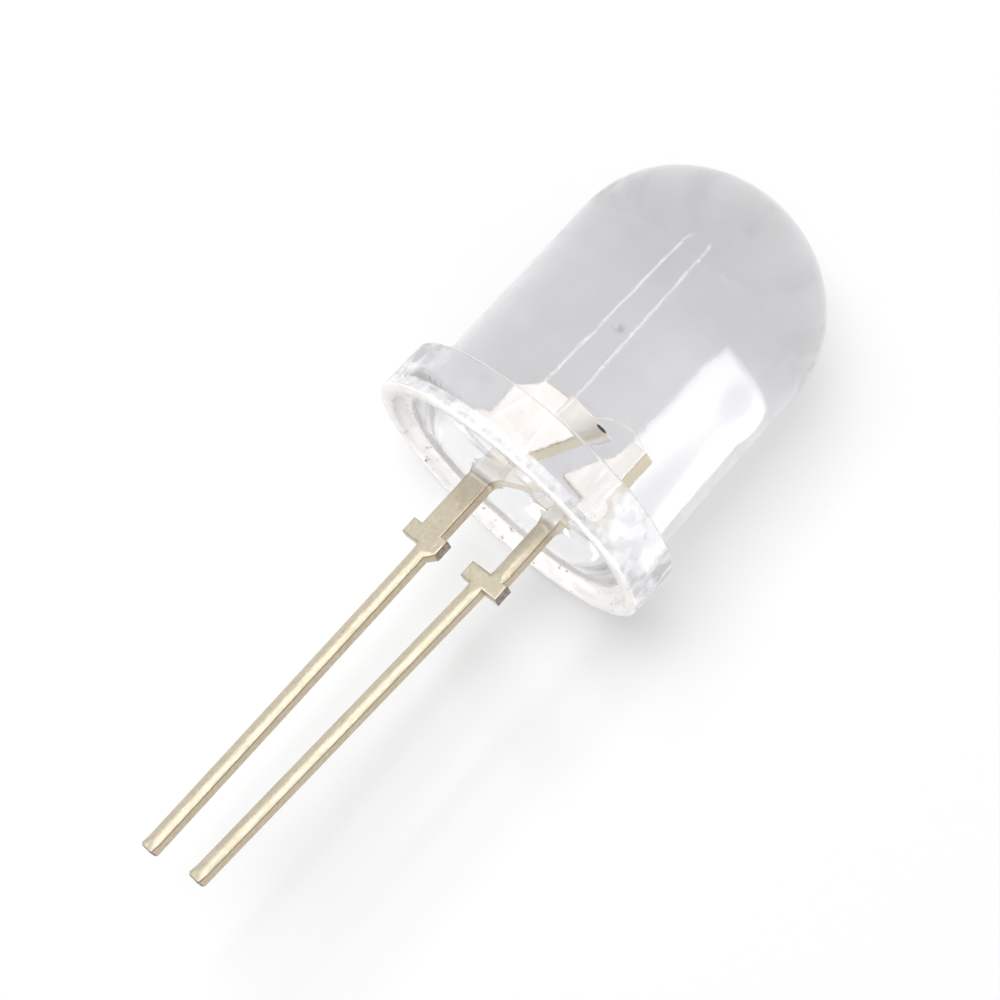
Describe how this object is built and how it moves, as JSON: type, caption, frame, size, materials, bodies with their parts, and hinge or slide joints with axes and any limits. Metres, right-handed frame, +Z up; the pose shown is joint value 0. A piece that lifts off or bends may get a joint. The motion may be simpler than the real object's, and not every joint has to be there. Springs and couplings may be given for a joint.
{
  "type": "through hole led",
  "caption": "Clear round-top through-hole light emitting diode lying on its side: stamped leads with stoppers, a die in a reflector cup, a post and a bond wire in a cast epoxy lens.",
  "frame": {"origin": "centre of the lying part's footprint box, on the plane that its flange rim and its dome touch", "axes": "+Z up, +X along the leads towards the dome, tipped nose down by the flange; the leads' sheet is rolled 30 degrees about the lens axis from straight up, with the anode up and towards -Y"},
  "size_m": [0.0308, 0.0116, 0.0117],
  "materials": {
    "clear_epoxy": "water-clear cast epoxy, glossy",
    "plated_steel": "silver plating dulled to a warm champagne tone",
    "chip": "dark polished semiconductor",
    "silver_glue": "matt silver-filled adhesive",
    "gold_wire": "bright gold"
  },
  "bodies": {
    "root": {"epoxy_lens": "clear_epoxy", "cathode_lead": "plated_steel", "anode_lead": "plated_steel", "led_die": "chip", "die_glue": "silver_glue", "bond_wire": "gold_wire"}
  },
  "joints": []
}
